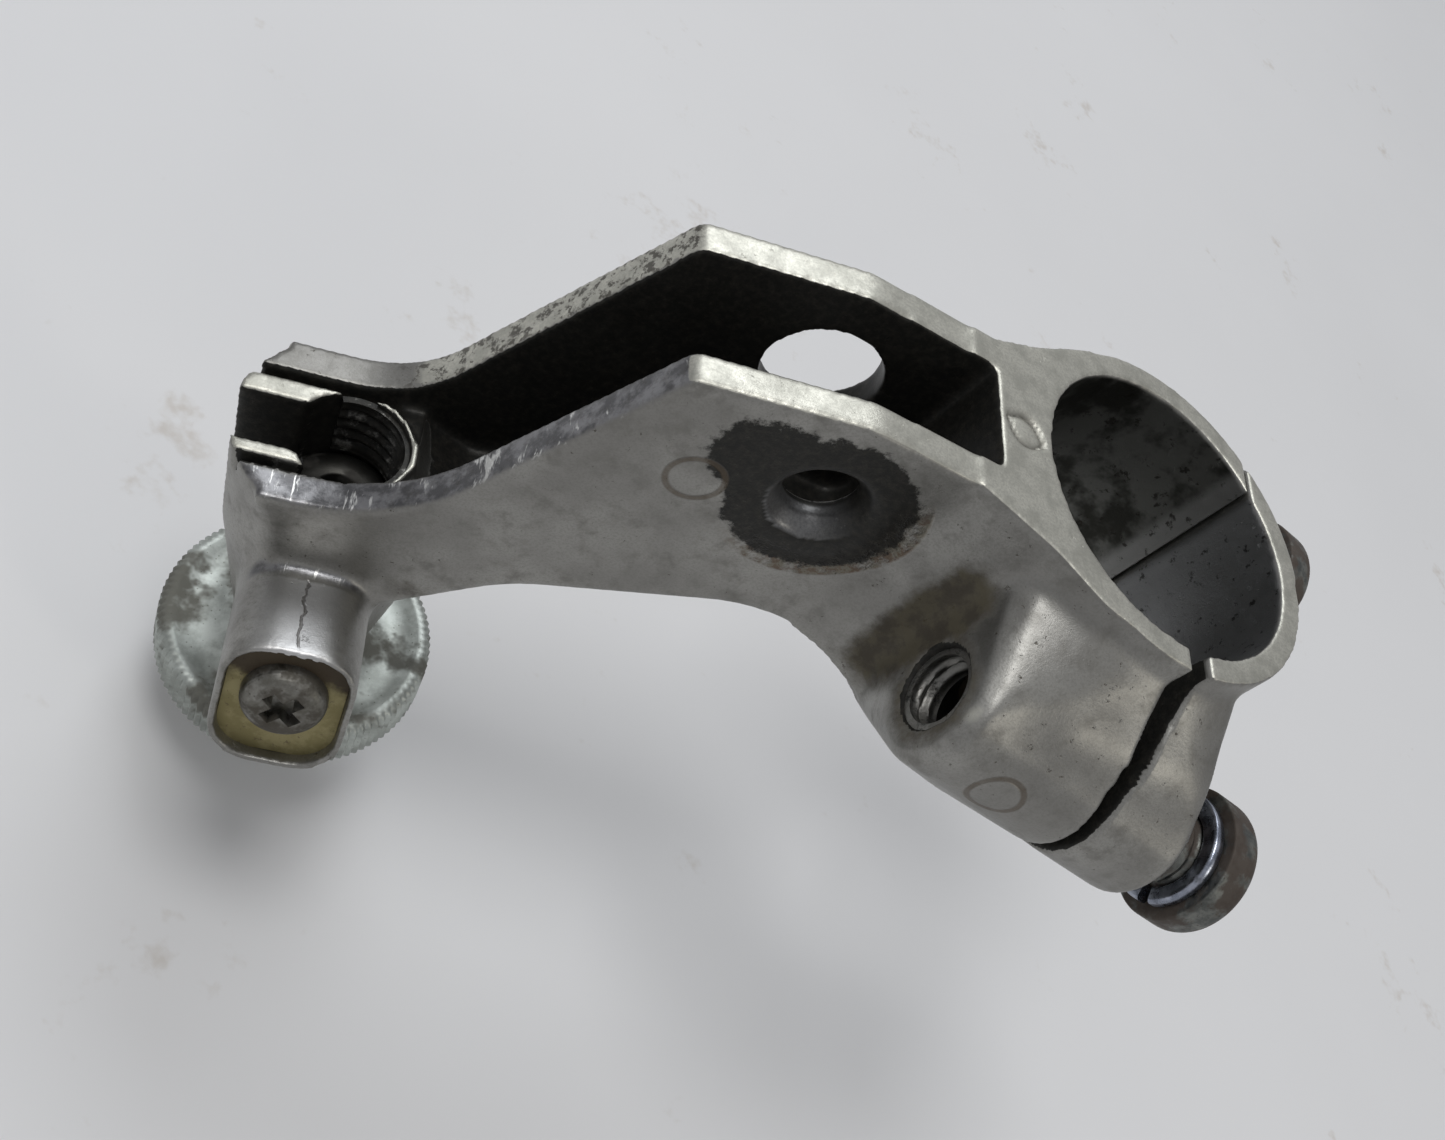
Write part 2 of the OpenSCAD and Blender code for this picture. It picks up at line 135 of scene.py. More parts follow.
class Nodes:
    """Short names for building one material's node tree."""

    def __init__(self, name):
        self.material = bpy.data.materials.new(name)
        self.material.use_nodes = True
        self.tree = self.material.node_tree
        self.shader = self.tree.nodes["Principled BSDF"]
        self.place = self.add("ShaderNodeTexCoord").outputs["Object"]

    def add(self, kind, **values):
        node = self.tree.nodes.new(kind)
        for key, value in values.items():
            setattr(node, key, value)
        return node

    def put(self, value, socket):
        if isinstance(value, bpy.types.NodeSocket):
            self.tree.links.new(value, socket)
        elif isinstance(value, tuple):
            socket.default_value = (*value, 1) if len(value) == 3 else value
        else:
            socket.default_value = value

    def noise(self, per_mm, detail=4, rough=0.6, stretch=(1, 1, 1), shift=0):
        """Noise whose features are about 1/per_mm millimetres across."""
        mapping = self.add("ShaderNodeMapping")
        self.put(self.place, mapping.inputs["Vector"])
        mapping.inputs["Scale"].default_value = [per_mm / MM * s for s in stretch]
        mapping.inputs["Location"].default_value = (shift, shift * 1.7, shift * 0.6)
        node = self.add("ShaderNodeTexNoise")
        self.put(mapping.outputs["Vector"], node.inputs["Vector"])
        node.inputs["Scale"].default_value = 1
        node.inputs["Detail"].default_value = detail
        node.inputs["Roughness"].default_value = rough
        return node.outputs["Fac"]

    def spots(self, per_mm, size, shift=0):
        """1 inside scattered round spots, 0 outside."""
        mapping = self.add("ShaderNodeMapping")
        self.put(self.place, mapping.inputs["Vector"])
        mapping.inputs["Scale"].default_value = [per_mm / MM] * 3
        mapping.inputs["Location"].default_value = (shift, shift, shift)
        node = self.add("ShaderNodeTexVoronoi")
        self.put(mapping.outputs["Vector"], node.inputs["Vector"])
        node.inputs["Scale"].default_value = 1
        return self.step(node.outputs["Distance"], size, size * 0.6)

    def step(self, value, start, end):
        """Smoothly from 0 at start to 1 at end."""
        node = self.add("ShaderNodeMapRange", interpolation_type="SMOOTHSTEP")
        self.put(value, node.inputs["Value"])
        low, high = (start, end) if start < end else (end, start)
        node.inputs["From Min"].default_value = low
        node.inputs["From Max"].default_value = high
        node.inputs["To Min"].default_value = 0 if start < end else 1
        node.inputs["To Max"].default_value = 1 if start < end else 0
        return node.outputs["Result"]

    def math(self, kind, a, b=0.0):
        node = self.add("ShaderNodeMath", operation=kind)
        self.put(a, node.inputs[0])
        self.put(b, node.inputs[1])
        return node.outputs[0]

    def mix(self, amount, a, b):
        """Colour a where amount is 0, b where it is 1."""
        node = self.add("ShaderNodeMix", data_type="RGBA")
        self.put(amount, node.inputs["Factor"])
        self.put(a, node.inputs[6])
        self.put(b, node.inputs[7])
        return node.outputs[2]

    def blend(self, amount, a, b):
        """Number a where amount is 0, b where it is 1."""
        node = self.add("ShaderNodeMix", data_type="FLOAT")
        self.put(amount, node.inputs[0])
        self.put(a, node.inputs[2])
        self.put(b, node.inputs[3])
        return node.outputs[0]

    def mask(self, name):
        return self.add("ShaderNodeAttribute", attribute_name=name).outputs["Fac"]

    def along(self, origin, direction):
        """Distance in mm along a direction from a point."""
        return self.math("DIVIDE", self.vector("DOT_PRODUCT", self.from_point(origin),
                                               tuple(direction)), MM)

    def from_point(self, origin):
        return self.vector("SUBTRACT", self.place, tuple(np.array(origin) * MM))

    def vector(self, kind, a, b=(0.0, 0.0, 0.0)):
        node = self.add("ShaderNodeVectorMath", operation=kind)
        self.put(a, node.inputs[0])
        node.inputs[1].default_value = b
        return node.outputs["Value" if kind in ("DOT_PRODUCT", "LENGTH") else "Vector"]

    def side_distance(self, centre):
        """Distance in metres from a point, seen from the side, along y."""
        flat = self.vector("MULTIPLY", self.from_point(centre), (1, 0, 1))
        return self.vector("LENGTH", flat)

    def circle(self, centre, radius, width):
        """1 on a thin circle around a point, seen from the side."""
        off = self.math("SUBTRACT", self.side_distance(centre), radius * MM)
        return self.step(self.math("ABSOLUTE", off), width * MM, width * 0.4 * MM)

    def crack(self):
        """A wavy line along the outer facet of the detent's boss."""
        wave = self.noise(0.45, 3, 0.7, shift=2)
        off = self.math("SUBTRACT", self.along(DETENT[0], DETENT[1]),
                        self.math("MULTIPLY", self.math("SUBTRACT", wave, 0.42), 1.1))
        length = self.along(DETENT[0], DETENT[3])
        ends = self.math("MULTIPLY", self.step(length, -8.0, -7.0), self.step(length, -0.3, -1.2))
        return self.math("MULTIPLY", self.step(self.math("ABSOLUTE", off), 0.13, 0.05), ends)

    def ragged(self, name, noise, reach=0.5):
        """A mask whose soft border is broken up by noise."""
        shifted = self.math("ADD", self.mask(name), self.math("MULTIPLY", noise, reach))
        return self.step(shifted, 0.5 + reach / 2 - 0.1, 0.5 + reach / 2 + 0.1)

    def bump(self, height, strength, distance, below=None):
        node = self.add("ShaderNodeBump")
        self.put(height, node.inputs["Height"])
        node.inputs["Strength"].default_value = strength
        node.inputs["Distance"].default_value = distance * MM
        if below is not None:
            self.put(below, node.inputs["Normal"])
        return node.outputs["Normal"]

    def finish(self, colour, rough, normal, metallic=1.0):
        self.put(colour, self.shader.inputs["Base Color"])
        self.put(rough, self.shader.inputs["Roughness"])
        self.put(normal, self.shader.inputs["Normal"])
        self.put(metallic, self.shader.inputs["Metallic"])
        return self.material


def bare_alloy(n, cloudy, grain, pits):
    """Satin cast surface with faint clouds, grain and small dark pits."""
    broad = n.noise(0.12, 3)
    colour = n.mix(n.step(broad, 0.35, 0.65), (0.25, 0.245, 0.23), (0.33, 0.325, 0.305))
    colour = n.mix(n.step(cloudy, 0.45, 0.75), colour, (0.20, 0.195, 0.18))
    grained = n.math("MULTIPLY", n.step(grain, 0.45, 0.62), 0.35)
    colour = n.mix(grained, colour, (0.19, 0.185, 0.17))
    return n.mix(n.math("MULTIPLY", pits, 0.8), colour, (0.055, 0.045, 0.032))


def worn_alloy_and_painted_light(n, colour, cloudy, grain, pitted):
    """Scratched rim with painted shade on its dark base, bright worn faces with the scar and a painted highlight
    on the outward tops round the pivot, and the pitted far rim.
    """
    streak = n.noise(1.6, 4, 0.7, stretch=(1.2, 0.15, 0.35), shift=5)
    # painted shade: the rim's dark base, under bright scratches
    rim = n.mix(n.step(cloudy, 0.42, 0.62), (0.085, 0.085, 0.092), (0.25, 0.25, 0.26))
    rim = n.mix(n.step(streak, 0.58, 0.66), rim, (0.72, 0.72, 0.70))
    colour = n.mix(n.math("MULTIPLY", n.mask("rim"), 0.85), colour, rim)
    worn = n.mix(n.step(cloudy, 0.35, 0.65), (0.66, 0.65, 0.575), (0.47, 0.465, 0.41))
    worn = n.mix(n.math("MULTIPLY", n.mask("dent"), 0.95), worn, (0.13, 0.12, 0.10))
    grained = n.math("MULTIPLY", n.step(grain, 0.42, 0.62), 0.4)
    worn = n.mix(grained, worn, (0.36, 0.35, 0.31))
    # the worn mask is wear on faces and lips, and a painted highlight on the outward tops round the pivot
    amount = n.math("MULTIPLY", n.ragged("worn", grain, 0.25), 0.85)
    colour = n.mix(amount, colour, worn)
    return n.mix(n.math("MULTIPLY", pitted, 0.85), colour, (0.075, 0.068, 0.058))


def bore_alloy(n):
    """Inside of the bar's bore: mottled in front, a bright band, smoother in the cap."""
    mottle = n.step(n.noise(0.24, 4, 0.6, shift=7), 0.42, 0.58)
    colour = n.mix(mottle, (0.038, 0.038, 0.033), (0.135, 0.136, 0.125))
    colour = n.mix(n.mask("band"), colour, (0.26, 0.26, 0.25))
    colour = n.mix(n.mask("cap_bore"), colour, (0.29, 0.292, 0.295))
    spots = n.step(n.noise(0.9, 5, 0.7, shift=2), 0.58, 0.66)
    return n.mix(n.math("MULTIPLY", spots, 0.8), colour, (0.022, 0.018, 0.015))


def dirty_and_shaded_alloy(n, colour, cloudy, speck, dirt_and_shade, witness, grease_and_shade):
    """Olive dirt with painted shade in the corners, the nut's brown mark, and black grease with painted shade in
    the clamp's gap and the adjuster's bore.
    """
    dirt_and_shade_colour = n.mix(n.step(cloudy, 0.4, 0.6), (0.042, 0.032, 0.018), (0.085, 0.072, 0.043))
    colour = n.mix(n.math("MULTIPLY", dirt_and_shade, 0.85), colour, dirt_and_shade_colour)
    brown = n.mix(n.step(speck, 0.45, 0.55), (0.10, 0.062, 0.036), (0.16, 0.145, 0.11))
    colour = n.mix(n.math("MULTIPLY", witness, 0.8), colour, brown)
    black = n.mix(n.step(speck, 0.4, 0.7), (0.008, 0.008, 0.007), (0.024, 0.022, 0.018))
    return n.mix(n.math("MULTIPLY", grease_and_shade, 0.97), colour, black)


def cast_alloy():
    """Cast aluminium with worn edges, pits, stains, dirt and grease, and painted highlights and painted shade,
    placed by masks.
    """
    n = Nodes("cast_alloy")
    cloudy = n.noise(0.55, 5, 0.65, shift=3)
    grain = n.noise(5.5, 3, 0.7)
    speck = n.noise(1.6, 4, 0.75, shift=9)
    large_pits = n.step(n.noise(0.8, 6, 0.7, shift=14), 0.66, 0.70)
    pits = n.math("MAXIMUM", n.step(speck, 0.64, 0.70), n.math("MULTIPLY", large_pits, 0.9))
    pitted = n.math("MULTIPLY", n.mask("pitted"),
                    n.step(n.noise(1.1, 5, 0.75, shift=1), 0.50, 0.58))
    dirt_and_shade_edge = n.math("MULTIPLY", n.noise(0.5, 5, 0.7, shift=11), 0.8)
    # dirt mixed with painted shade in corners, under the near boss and round its hole
    dirt_and_shade = n.step(n.math("ADD", n.mask("dirt_and_shade"), dirt_and_shade_edge), 0.62, 1.15)
    disc = n.step(n.side_distance(PIVOT), (WITNESS_R + 0.1) * MM, (WITNESS_R - 0.15) * MM)
    witness = n.math("MULTIPLY", n.math("MULTIPLY", disc, n.mask("witness")),
                     n.step(n.noise(0.7, 5, 0.7, shift=21), 0.34, 0.54))
    # grease, with painted shade in the clamp's gap and the adjuster's bore
    grease_and_shade = n.ragged("grease_and_shade", n.noise(0.75, 6, 0.75, shift=4), 1.1)
    # polished wedge in the countersink that also paints its highlight
    polish_and_highlight = n.mask("polish_and_highlight")
    circles = [n.circle(middle, radius, 0.30) for middle, radius in PIN_MARKS]
    marks = n.math("MULTIPLY", n.math("MAXIMUM", *circles), n.mask("near_face"))
    crack = n.math("MULTIPLY", n.crack(), n.mask("crack_face"))

    colour = bare_alloy(n, cloudy, grain, pits)
    colour = worn_alloy_and_painted_light(n, colour, cloudy, grain, pitted)
    colour = n.mix(n.mask("bore"), colour, bore_alloy(n))
    colour = dirty_and_shaded_alloy(n, colour, cloudy, speck, dirt_and_shade, witness, grease_and_shade)
    colour = n.mix(polish_and_highlight, colour, n.mix(grain, (0.10, 0.10, 0.105), (0.42, 0.42, 0.42)))
    faint = n.blend(speck, 0.3, 0.9)
    colour = n.mix(n.math("MULTIPLY", marks, faint), colour, (0.095, 0.072, 0.048))
    # painted highlight on the detent boss's outer facet
    colour = n.mix(n.math("MULTIPLY", n.mask("bright"), 0.6), colour, (0.72, 0.72, 0.73))
    colour = n.mix(n.math("MULTIPLY", crack, faint), colour, (0.07, 0.06, 0.05))

    rough = n.blend(grease_and_shade, n.blend(cloudy, 0.36, 0.52), 0.42)
    rough = n.blend(dirt_and_shade, n.blend(polish_and_highlight, rough, 0.24), 0.75)
    rough = n.blend(n.math("MULTIPLY", n.mask("rim"), 0.6), rough, 0.30)
    dull = n.math("MULTIPLY", n.math("ADD", dirt_and_shade, grease_and_shade), n.math("SUBTRACT", 1.0, polish_and_highlight))
    metallic = n.math("SUBTRACT", 1.0, n.math("MULTIPLY", dull, 0.7))
    n.shader.inputs["Specular IOR Level"].default_value = 0.2

    holes = n.math("MULTIPLY", n.math("MAXIMUM", pits, pitted), 0.7)
    lines = n.math("MAXIMUM", n.math("MAXIMUM", marks, witness), crack)
    normal = n.bump(grain, 0.35, 0.04)
    normal = n.bump(n.math("SUBTRACT", cloudy, holes), 0.35, 0.08, normal)
    normal = n.bump(n.math("SUBTRACT", 1.0, lines), 0.6, 0.10, normal)
    return n.finish(colour, rough, normal, metallic)


def plated_steel(name, base, worn, stain, rough=0.4, stain_from=0.55, per_mm=0.7):
    """Plated or bare steel with clouded patches, scratches and stains, and painted shade where a piece runs into a
    bore.
    """
    n = Nodes(name)
    cloud = n.noise(per_mm, 5, 0.65)
    patch = n.noise(per_mm * 0.5, 4, 0.6, shift=6)
    grain = n.noise(8, 3, 0.7, shift=2)
    colour = n.mix(n.step(cloud, 0.38, 0.62), base, worn)
    stained = n.step(n.math("ADD", patch, n.math("MULTIPLY", cloud, 0.25)),
                     stain_from + 0.06, stain_from + 0.20)
    colour = n.mix(n.math("MULTIPLY", stained, 0.85), colour, stain)
    pits = n.spots(1.9, 0.16)
    colour = n.mix(n.math("MULTIPLY", pits, 0.5), colour, stain)
    # painted shade where the piece runs deep into a bore
    bore_shaded = n.mask("bore_shade")
    colour = n.mix(n.math("MULTIPLY", bore_shaded, 0.9), colour, (0.025, 0.021, 0.018))
    roughness = n.blend(stained, n.blend(cloud, rough, rough + 0.12), rough + 0.3)
    normal = n.bump(grain, 0.3, 0.02)
    normal = n.bump(n.math("SUBTRACT", cloud, n.math("MULTIPLY", stained, 0.4)), 0.35, 0.05, normal)
    metallic = n.math("SUBTRACT", 1.0, n.math("MULTIPLY", stained, 0.6))
    return n.finish(colour, roughness, normal, metallic)


def chromate():
    """Olive-yellow chromate, darker brown towards the outer face and at its edges."""
    n = Nodes("yellow_zinc")
    cloud = n.noise(0.5, 5, 0.65)
    fine = n.noise(2.2, 4, 0.7, shift=3)
    across = n.along(DETENT[0], DETENT[2])
    brown_outboard = n.step(n.math("ADD", across, n.math("MULTIPLY", cloud, 3.2)), 0.4, -1.0)
    colour = n.mix(n.step(cloud, 0.4, 0.6), (0.215, 0.185, 0.085), (0.29, 0.255, 0.13))
    colour = n.mix(n.math("MULTIPLY", n.step(fine, 0.60, 0.68), 0.6), colour, (0.10, 0.07, 0.05))
    colour = n.mix(n.math("MULTIPLY", brown_outboard, 0.9), colour, (0.045, 0.030, 0.020))
    normal = n.bump(fine, 0.35, 0.05)
    return n.finish(colour, n.blend(brown_outboard, 0.45, 0.7), normal, n.blend(brown_outboard, 0.75, 0.3))


def table_top():
    n = Nodes("table_top")
    wide = n.noise(0.012, 4)
    fine = n.noise(0.25, 5, 0.7, shift=4)
    colour = n.mix(wide, (0.64, 0.64, 0.645), (0.71, 0.71, 0.715))
    smudge = n.step(n.math("ADD", n.noise(0.05, 5, 0.75, shift=8), n.math("MULTIPLY", fine, 0.25)),
                    0.74, 0.86)
    colour = n.mix(n.math("MULTIPLY", smudge, 0.45), colour, (0.42, 0.36, 0.29))
    return n.finish(colour, 0.55, n.bump(fine, 0.15, 0.1), 0.0)


# ---- mesh helpers ----


def mesh_object(name, points, faces):
    mesh = bpy.data.meshes.new(name)
    mesh.from_pydata([tuple(map(float, p)) for p in points], [], faces)
    mesh.update()
    for polygon in mesh.polygons:
        polygon.use_smooth = True
    obj = bpy.data.objects.new(name, mesh)
    bpy.context.scene.collection.objects.link(obj)
    return obj


def clean_copy(node):
    """A welded copy of a CAD node's mesh."""
    source = frame["nodes"][node]
    obj = bpy.data.objects.new(node + "_cast", source.data.copy())
    bpy.context.scene.collection.objects.link(obj)
    mesh = bmesh.new()
    mesh.from_mesh(obj.data)
    bmesh.ops.remove_doubles(mesh, verts=mesh.verts, dist=0.002 * MM)
    mesh.to_mesh(obj.data)
    mesh.free()
    obj.data.materials.clear()
    return obj


def apply_modifiers(obj):
    evaluated = obj.evaluated_get(bpy.context.evaluated_depsgraph_get())
    mesh = bpy.data.meshes.new_from_object(evaluated)
    obj.modifiers.clear()
    obj.data = mesh
    return obj


def voxels(obj, size_mm):
    modifier = obj.modifiers.new("remesh", "REMESH")
    modifier.mode = "VOXEL"
    modifier.voxel_size = size_mm * MM
    modifier.use_smooth_shade = True
    return apply_modifiers(obj)


def points_of(mesh):
    flat = np.empty(len(mesh.vertices) * 3, np.float32)
    mesh.vertices.foreach_get("co", flat)
    return flat.reshape(-1, 3).astype(np.float64) / MM


def normals_of(mesh):
    flat = np.empty(len(mesh.vertices) * 3, np.float32)
    mesh.vertex_normals.foreach_get("vector", flat)
    return flat.reshape(-1, 3).astype(np.float64)


def set_points(mesh, points):
    mesh.vertices.foreach_set("co", (points * MM).astype(np.float32).ravel())
    mesh.update()


def soften(mesh, passes, edge_passes):
    """Rounds a casting: hollow corners fill as fill_amount says, over passes, and outer edges
    wear round over the first edge_passes, or over all of them on the lug's front."""
    edges = np.empty(len(mesh.edges) * 2, np.int64)
    mesh.edges.foreach_get("vertices", edges)
    a, b = edges[0::2], edges[1::2]
    count = len(mesh.vertices)
    degree = np.bincount(a, minlength=count) + np.bincount(b, minlength=count)
    points = points_of(mesh)
    amount = fill_amount(points)
    round_off = lug_front(points)
    for turn in range(passes):
        if turn % 6 == 0:
            set_points(mesh, points)
            normals = normals_of(mesh)
        total = np.stack([np.bincount(a, points[b, k], count) + np.bincount(b, points[a, k], count)
                          for k in range(3)], axis=1)
        step = total / degree[:, None] - points
        hollow = np.einsum("ij,ij->i", step, normals) > 0
        weight = np.where(hollow, amount, 0.0)
        weight = np.maximum(weight, 0.5 if turn < edge_passes else round_off)
        points += step * weight[:, None] * 0.6
    set_points(mesh, points)


def store(mesh, name, values):
    layer = mesh.attributes.new(name, "FLOAT", "POINT")
    layer.data.foreach_set("value", np.clip(values, 0, 1).astype(np.float32))


def smooth_step(value, start, end):
    t = np.clip((value - start) / (end - start), 0, 1)
    return t * t * (3 - 2 * t)


def near(distance, radius, soft):
    """1 well inside radius, 0 well outside."""
    return 1 - smooth_step(distance, radius - soft, radius + soft)


# ---- the two castings ----


def in_channel(points):
    return ((np.abs(points[:, 1] - FORK_Y) < CHANNEL_HALF + 0.08)
            & (points[:, 0] > CHANNEL_X) & (points[:, 0] < 58))


def across(points, axes):
    """Distance in mm from a joint's axis."""
    return np.hypot(*to_local(points, axes)[:, :2].T)


def fill_amount(points):
    """How much the hollow corners of the castings fill: fully outside, not in bores or slots."""
    bolt = np.minimum(across(points, NEAR_BOLT), across(points, FAR_BOLT))
    pivot = np.hypot(points[:, 0] - PIVOT[0], points[:, 2] - PIVOT[2])
    ring = np.hypot(points[:, 0], points[:, 1])
    lug = across(points, ADJUSTER)
    amount = np.ones(len(points))
    amount[bolt < 3.9] = 0
    amount[pivot < 4.8] = 0
    amount[ring < BAR_R + 0.4] = 0
    amount[in_channel(points)] = 0.25
    amount[(lug < 9.5) & (to_local(points, ADJUSTER)[:, 2] < 3)] = 0
    amount[(points[:, 1] > 13.2) & (lug <= 14)] = 0
    return amount


def lug_front(points):
    """The near flank of the lug, whose front corner is cast round."""
    local = to_local(points, ADJUSTER)
    corner = near(np.hypot(local[:, 0] - 6.5, points[:, 1] - 6.5), 4.0, 1.0)
    below_rim = smooth_step(local[:, 2], 1.0, 2.2)
    return corner * below_rim * (points[:, 1] > 4.8) * (points[:, 0] > 40)


class Surface:
    """A casting's points and normals, and the distances that its masks are made of."""

    def __init__(self, mesh):
        self.p, self.n = points_of(mesh), normals_of(mesh)
        self.x, self.y, self.z = self.p.T
        self.pivot = np.hypot(self.x - PIVOT[0], self.z - PIVOT[2])
        self.screw = to_local(self.p, ADJUSTER)
        self.screw_r = across(self.p, ADJUSTER)
        self.to_mouth = -self.n @ ADJUSTER[3]
        self.face = smooth_step(self.n[:, 2], 0.55, 0.9) * smooth_step(self.z, -0.7, -0.25)
        self.lip = (smooth_step(-self.screw[:, 2], -0.5, -0.15)
                    * smooth_step(self.to_mouth, 0.4, 0.8)
                    * (np.abs(self.y - FORK_Y) < CHANNEL_HALF - 0.5) * (self.screw_r < 9))

    def spot(self, middle, scale, radius, soft):
        """A soft round spot; scale above 1 makes it narrower along an axis."""
        return near(np.linalg.norm((self.p - middle) * scale, axis=1), radius, soft)


def bore_masks(s):
    ring = np.hypot(s.x, s.y)
    angle = np.degrees(np.arctan2(s.y, s.x)) % 360
    return {"bore": near(ring, BAR_R + 0.12, 0.12) * (s.z > -CLAMP_LEN - 0.2)
            * smooth_step(-s.z, 0.1, 0.35),
            "band": smooth_step(angle, CAP_SEAM - 1, CAP_SEAM + 0.5)
            * smooth_step(angle, CAP_SEAM + 13, CAP_SEAM + 8),
            "cap_bore": near(angle, CAP_SEAM, 0.4) * (angle > 90)}


def wear_and_painted_light_masks(s):
    """Worn outer faces and lips, a painted highlight on the outward tops round the pivot, the scratched near rim
    with painted shade, and the pitted far rim.
    """
    # painted highlight: outward-facing tops round the pivot
    top = (smooth_step(s.n[:, 2] + 0.3 * s.n[:, 0], 0.5, 0.9)
           * (s.x > 15) * (s.x < 38) * (s.z > -4.5))
    corner = s.spot([12.6, 17.6, -7.2], [1, 1, 0.6], 1.1, 0.9)
    # slopes facing +x; on the near side they carry the rim's painted shade
    slope = (smooth_step(s.n[:, 0], 0.5, 0.85) * smooth_step(s.n[:, 2], 0.05, 0.3)
             * (s.x > 36.5) * (np.abs(s.y - FORK_Y) > CHANNEL_HALF - 0.1) * (s.screw_r < 45))
    on_ear = smooth_step(-s.y, -7.9, -7.3)
    lug_rim = (smooth_step(s.to_mouth, 0.6, 0.85) * smooth_step(s.y, 4.2, 4.5)
               * (s.x > 41) * on_ear)
    far_slope = slope * (s.y < 0)
    return {"worn": np.maximum.reduce([s.face * 0.95, top * 0.8, s.lip * 0.85, corner * 0.6,
                                       far_slope * 0.6]),
            "rim": np.maximum(slope * (s.y > 0) * on_ear, lug_rim),
            "pitted": np.maximum(far_slope, slope * 0.25)}


def pivot_masks(s):
    """Grease and the nut's mark round the pivot hole, with its countersink, whose polished wedge also paints the
    countersink's highlight.
    """
    near_ear = (smooth_step(s.n[:, 1], 0.3, 0.8) * (s.y > 6) * (s.y < 7.6) * (s.x > 14))
    smear = near(np.hypot((s.x - 29.0) / 1.3, s.z + 6.6), 3.6, 2.0)
    stain = np.maximum(near(s.pivot, 6.3, 1.7), smear) * near_ear
    turn = np.degrees(np.arctan2(s.z - PIVOT[2], PIVOT[0] - s.x))
    sink = (s.pivot < 3.6) & (s.y > 4.8) & (s.y < NEAR_EAR_Y - 0.02)
    hole = (s.pivot < 4.4) & (np.abs(s.n[:, 1]) < 0.6) & ~sink
    return {"grease_and_shade": np.maximum.reduce([stain, hole * 0.8, sink * 0.75]),
            "witness": near_ear * smooth_step(turn, -125, -95) * smooth_step(turn, 45, 20)
            * smooth_step(s.pivot, 4.5, 5.5),
            # polished wedge, also a painted highlight
            "polish_and_highlight": sink * smooth_step(-s.z, 7.4, 10.5) * smooth_step(s.x, 20, 24) * 0.55}


def inner_grease_and_shade(s):
    """Grease in the channel and the near tapped hole, and painted shade in the clamp's near gap and down the
    screw's bore.
    """
    outward = s.screw[:, :1] * ADJUSTER[1] + s.screw[:, 1:2] * ADJUSTER[2]
    radial = np.einsum("ij,ij->i", s.n, outward) / np.maximum(s.screw_r, 1)
    outside = smooth_step(radial, 0.4, 0.7) * (s.screw_r > 4.3) * (s.x > 38)
    inside = smooth_step(s.n @ [0.5, 0, 0.86], -0.5, -0.1) * (1 - outside)
    channel = in_channel(s.p) * (1 - s.lip) * (1 - s.face) * inside
    # painted shade: the gap walls between perch and cap go near black
    gap = (smooth_step(np.abs(s.n[:, 0]), 0.7, 0.9) * (s.y > 11) * (np.abs(s.x + 0.9) < 1.2)
           * (s.z < -0.5))
    tapped = (across(s.p, NEAR_BOLT) < 3.2) & (to_local(s.p, NEAR_BOLT)[:, 2] < -4)
    # painted shade: the wall of the adjuster's bore below its mouth goes black
    screw_bore = (s.screw_r < 4.1) & (s.screw[:, 2] > 0.3)
    return np.maximum.reduce([channel * 0.95, gap * 0.9, tapped * 0.8, screw_bore * 1.0])


def dirt_and_shade_mask(s):
    """Dirt with painted shade in the corner beside the near boss, round its tapped hole and by the detent."""
    wall = (near(np.hypot(s.x - 12.4, s.y - 8.8), 2.3, 1.9) * smooth_step(-s.z, 2.0, 8.0)
            * smooth_step(-s.z, 21, 14))
    mouth = near(across(s.p, NEAR_BOLT), 4.3, 0.9) * (to_local(s.p, NEAR_BOLT)[:, 2] < -11)
    below = s.spot([12.6, 8.6, -15.5], [1, 1, 0.6], 2.2, 1.6)
    root = s.spot([40.5, 7.6, -33.0], [0.7, 1, 1], 1.8, 1.4)
    return np.maximum.reduce([wall, mouth * 0.55, below * 0.9, root * 0.45])


def detent_masks(s):
    """The detent's boss: a painted highlight along the middle of its outer facet, and where the crack may run."""
    boss = (s.p - DETENT[0]) @ np.array(DETENT[1:]).T
    on_boss = (s.y > 8) * (s.x > 36)
    # painted highlight, strongest along the facet's middle
    return {"bright": near(np.abs(boss[:, 0]), 2.0, 1.8) * smooth_step(-boss[:, 1], 3.2, 4.4)
            * on_boss,
            "crack_face": smooth_step(-boss[:, 1], 3.5, 4.5) * on_boss}


def casting_masks(mesh):
    """Stores where each kind of wear and dirt lies on a casting, and where highlights and shade are painted."""
    s = Surface(mesh)
    masks = {**bore_masks(s), **wear_and_painted_light_masks(s), **pivot_masks(s), **detent_masks(s)}
    masks["grease_and_shade"] = np.maximum(masks["grease_and_shade"], inner_grease_and_shade(s))
    masks["dirt_and_shade"] = dirt_and_shade_mask(s)
    masks["near_face"] = smooth_step(s.n[:, 1], 0.3, 0.8) * (s.y > 6) * (s.x < 36)
    for name, values in masks.items():
        store(mesh, name, values)


def scar(mesh):
    """A lens-shaped scar with a raised middle on the outer face, between channel and bore."""
    points = points_of(mesh)
    half_length = 1.65
    half_width = 1.25
    offset = points[:, :2] - SCAR
    length = offset @ [0.936, -0.352]
    side = offset @ [0.352, 0.936]
    on_face = points[:, 2] > -0.3
    lens = half_width * np.clip(1 - (length / half_length) ** 2, 0, 1)
    outline = np.exp(-((np.abs(side) - lens) / 0.22) ** 2) * (np.abs(length) < 1.8) * on_face
    middle = np.exp(-(length / 0.9) ** 2 - (side / 0.5) ** 2) * on_face
    points[:, 2] -= 0.30 * outline + 0.12 * on_face * near(np.abs(side), lens, 0.2)
    points[:, 2] += 0.10 * middle
    set_points(mesh, points)
    store(mesh, "dent", outline)


